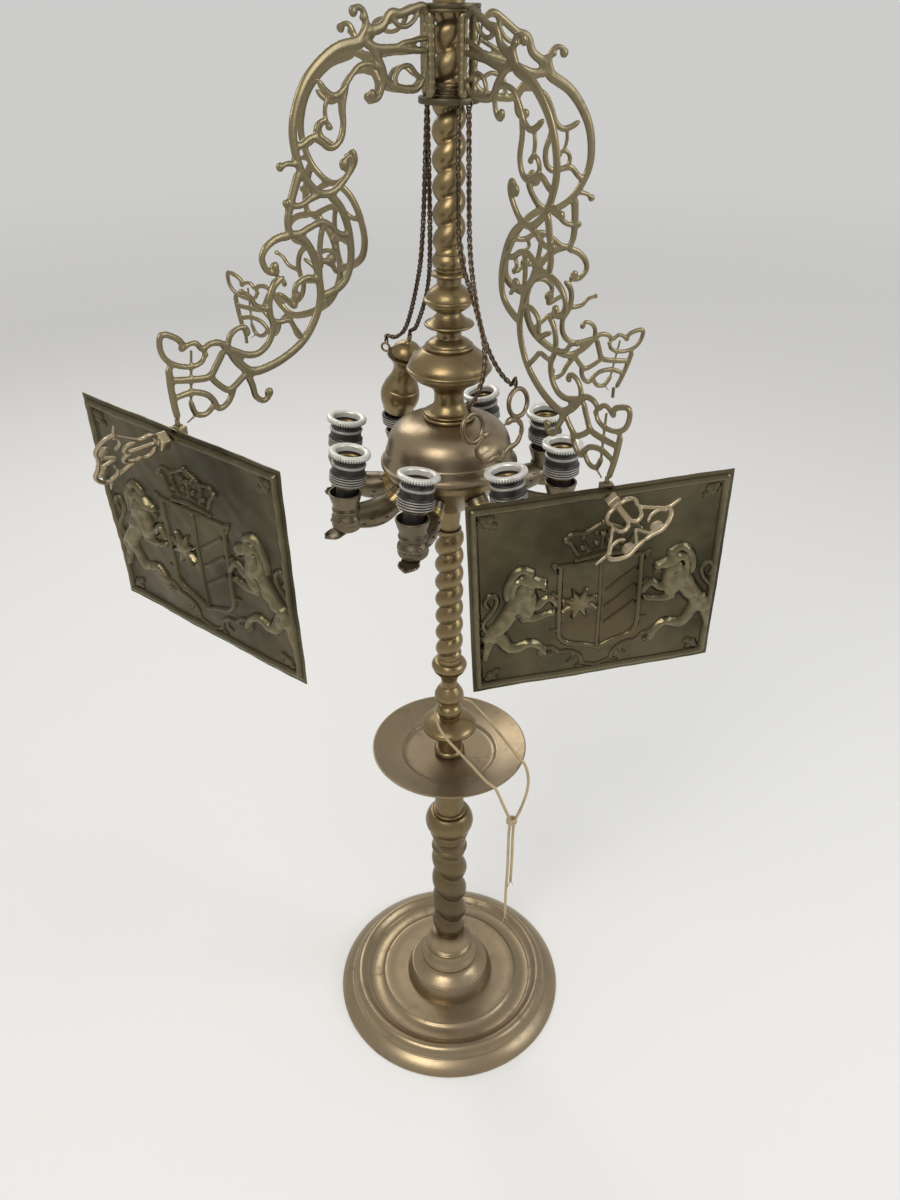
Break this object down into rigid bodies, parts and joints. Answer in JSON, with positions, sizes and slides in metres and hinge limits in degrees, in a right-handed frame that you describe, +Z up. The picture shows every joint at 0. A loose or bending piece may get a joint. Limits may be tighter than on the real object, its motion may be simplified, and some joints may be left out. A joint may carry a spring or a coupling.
{
  "type": "table oil lamp converted to electricity",
  "caption": "Tall turned brass lamp with a dished foot, drip tray, oil pan ringed by lampholders, scrolled arms, hung screens, a snuffer and a wick trimmer.",
  "frame": {"origin": "centre of the foot, on the surface it stands on", "axes": "+Z up along the column; -Y towards the viewer who sees both screens, +X to that viewer's right"},
  "size_m": [0.6056, 0.5136, 1.5284],
  "materials": {
    "brass": "aged, warm and slightly uneven",
    "pale_brass": "aged, paler",
    "screen_brass": "dull embossed sheet",
    "steel": "plain",
    "lampholder_grey": "dull dark grey",
    "shade_ring_zinc": "off-white, satin",
    "chain_bronze": "dark brown, dull",
    "flex_cream": "cream insulation"
  },
  "bodies": {
    "stand": {"foot": "brass", "foot_plate": "steel", "foot_boss": "brass", "lower_twist": "brass", "lower_knop": "brass", "drip_tray": "brass", "tray_boss": "brass", "shaft_knop": "brass", "middle_twist": "brass", "reservoir_pan": "brass", "reservoir_dome": "brass", "dome_spool": "brass", "lid_cup": "brass", "lid_knop": "brass", "upper_twist": "brass", "arm_hub": "pale_brass", "finial": "brass", "carrying_ring": "brass", "centre_rod": "steel", "spout_1": "brass", "lampholder_1": "lampholder_grey", "shade_ring_1": "shade_ring_zinc", "spout_2": "brass", "lampholder_2": "lampholder_grey", "shade_ring_2": "shade_ring_zinc", "spout_3": "brass", "lampholder_3": "lampholder_grey", "spout_4": "brass", "lampholder_4": "lampholder_grey", "shade_ring_4": "shade_ring_zinc", "spout_5": "brass", "lampholder_5": "lampholder_grey", "shade_ring_5": "shade_ring_zinc", "spout_6": "brass", "lampholder_6": "lampholder_grey", "shade_ring_6": "shade_ring_zinc", "spout_7": "brass", "lampholder_7": "lampholder_grey", "shade_ring_7": "shade_ring_zinc", "spout_8": "brass", "lampholder_8": "lampholder_grey", "shade_ring_8": "shade_ring_zinc", "trimmer_chain_left": "chain_bronze", "trimmer_chain_right": "chain_bronze", "snuffer_chain": "chain_bronze", "cord_front": "flex_cream", "cord_side": "flex_cream"},
    "arm_front_left": {"arm_front_left": "pale_brass"},
    "arm_front_right": {"arm_front_right": "pale_brass"},
    "arm_rear_left": {"arm_rear_left": "pale_brass"},
    "arm_rear_right": {"arm_rear_right": "pale_brass"},
    "screen_left": {"screen_left": "screen_brass", "screen_clip_left": "pale_brass"},
    "ornament_left": {"ornament_left": "pale_brass"},
    "screen_right": {"screen_right": "screen_brass", "screen_clip_right": "pale_brass"},
    "ornament_right": {"ornament_right": "pale_brass"},
    "snuffer": {"snuffer": "brass"},
    "trimmer_half_left": {"trimmer_half_left": "pale_brass"},
    "trimmer_half_right": {"trimmer_half_right": "pale_brass"}
  },
  "joints": [
    {"name": "front_left_swivel", "type": "hinge", "parent": "stand", "child": "arm_front_left", "pos_m": [-0.01752, -0.01783, 1.376], "axis": [0, 0, 1], "range_deg": [-12, 12]},
    {"name": "front_right_swivel", "type": "hinge", "parent": "stand", "child": "arm_front_right", "pos_m": [0.01174, -0.02207, 1.376], "axis": [0, 0, 1], "range_deg": [-12, 12]},
    {"name": "rear_left_swivel", "type": "hinge", "parent": "stand", "child": "arm_rear_left", "pos_m": [-0.02097, 0.01362, 1.376], "axis": [0, 0, 1], "range_deg": [-12, 12]},
    {"name": "rear_right_swivel", "type": "hinge", "parent": "stand", "child": "arm_rear_right", "pos_m": [0.02318, 0.00937, 1.376], "axis": [0, 0, 1], "range_deg": [-12, 12]},
    {"name": "screen_left_swivel", "type": "hinge", "parent": "arm_front_left", "child": "screen_left", "pos_m": [-0.24219, -0.24645, 1.10149], "axis": [0, 0, 1], "range_deg": [-20, 20]},
    {"name": "ornament_left_turn", "type": "hinge", "parent": "screen_left", "child": "ornament_left", "pos_m": [-0.25074, -0.25313, 1.09873], "axis": [-0.7861, -0.6142, -0.0698], "continuous": true},
    {"name": "screen_right_swivel", "type": "hinge", "parent": "arm_front_right", "child": "screen_right", "pos_m": [0.13214, -0.24851, 1.04085], "axis": [0, 0, 1], "range_deg": [-20, 20]},
    {"name": "ornament_right_turn", "type": "hinge", "parent": "screen_right", "child": "ornament_right", "pos_m": [0.13533, -0.25896, 1.03712], "axis": [0.2888, -0.9445, -0.1564], "continuous": true},
    {"name": "snuffer_lift", "type": "slide", "parent": "stand", "child": "snuffer", "axis": [0, 0, 1], "range_m": [0, 0.05], "deforming": ["snuffer_chain"]},
    {"name": "trimmer_lift", "type": "slide", "parent": "stand", "child": "trimmer_half_left", "axis": [0, 0, 1], "range_m": [0, 0.04], "deforming": ["trimmer_chain_left", "trimmer_chain_right"]},
    {"name": "trimmer_pivot", "type": "hinge", "parent": "trimmer_half_left", "child": "trimmer_half_right", "pos_m": [0.05554, -0.07813, 0.98924], "axis": [0.6703, -0.7262, 0.1528], "range_deg": [0, 30]}
  ]
}
